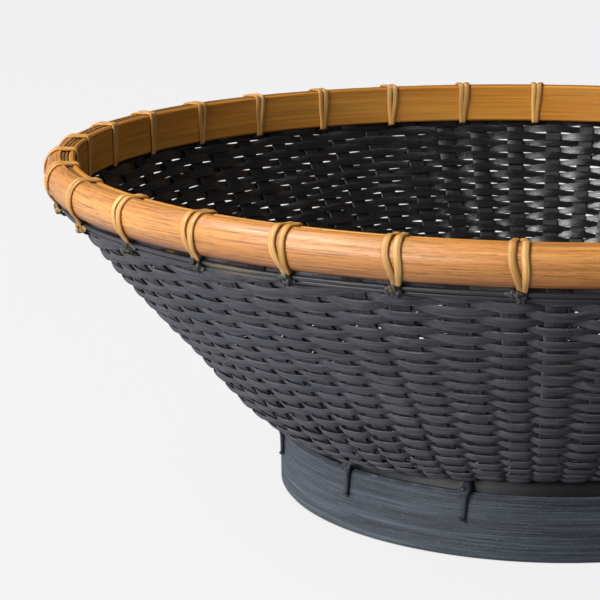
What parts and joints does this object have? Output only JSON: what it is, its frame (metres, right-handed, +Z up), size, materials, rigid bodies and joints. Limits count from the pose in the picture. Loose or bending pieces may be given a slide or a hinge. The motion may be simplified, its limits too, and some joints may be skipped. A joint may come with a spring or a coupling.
{
  "type": "woven fruit basket",
  "caption": "Round footed fruit basket: dark plain-woven splint bowl, natural bamboo rim lashed on with cane, bent ring foot.",
  "frame": {"origin": "centre of the foot's underside, on the surface that the basket stands on", "axes": "+Z up along the basket's round axis, -Y towards the viewer's side, +X to the right"},
  "size_m": [0.4041, 0.4037, 0.1397],
  "materials": {
    "weave": "flat split cane, painted near black with a grey bloom outside, satin, striated lengthwise",
    "foot": "bent wood splint, painted blue-black, satin, streaked lengthwise",
    "painted_cane": "round cane, painted black, satin",
    "rim_pole": "natural half-round bamboo, orange tan, fine lengthwise fibres, clear lacquer",
    "rim_band": "natural flat bamboo, golden brown, satin lacquer",
    "rim_filler": "split cane, pale tan, dry",
    "cane": "glossy peeled cane, golden"
  },
  "bodies": {
    "root": {"woven_wall": "weave", "woven_base": "weave", "border_hoop": "painted_cane", "rim_pole": "rim_pole", "rim_band": "rim_band", "rim_filler_inner": "rim_filler", "rim_filler_outer": "rim_filler", "foot_outer_band": "foot", "foot_inner_band": "foot", "rim_lashing_01": "cane", "rim_lashing_02": "cane", "rim_lashing_03": "cane", "rim_lashing_04": "cane", "rim_lashing_05": "cane", "rim_lashing_06": "cane", "rim_lashing_07": "cane", "rim_lashing_08": "cane", "rim_lashing_09": "cane", "rim_lashing_10": "cane", "rim_lashing_11": "cane", "rim_lashing_12": "cane", "rim_lashing_13": "cane", "rim_lashing_14": "cane", "rim_lashing_15": "cane", "rim_lashing_16": "cane", "rim_lashing_17": "cane", "rim_lashing_18": "cane", "rim_lashing_19": "cane", "rim_lashing_20": "cane", "rim_lashing_21": "cane", "rim_lashing_22": "cane", "rim_lashing_23": "cane", "rim_lashing_24": "cane", "rim_lashing_25": "cane", "rim_lashing_26": "cane", "rim_lashing_27": "cane", "rim_lashing_28": "cane", "rim_lashing_29": "cane", "rim_lashing_30": "cane", "rim_lashing_31": "cane", "rim_lashing_32": "cane", "rim_lashing_33": "cane", "foot_stitch_01": "painted_cane", "foot_stitch_02": "painted_cane", "foot_stitch_03": "painted_cane", "foot_stitch_04": "painted_cane", "foot_stitch_05": "painted_cane", "foot_stitch_06": "painted_cane", "foot_stitch_07": "painted_cane", "foot_stitch_08": "painted_cane", "foot_stitch_09": "painted_cane", "foot_stitch_10": "painted_cane", "foot_stitch_11": "painted_cane", "foot_stitch_12": "painted_cane"}
  },
  "joints": []
}
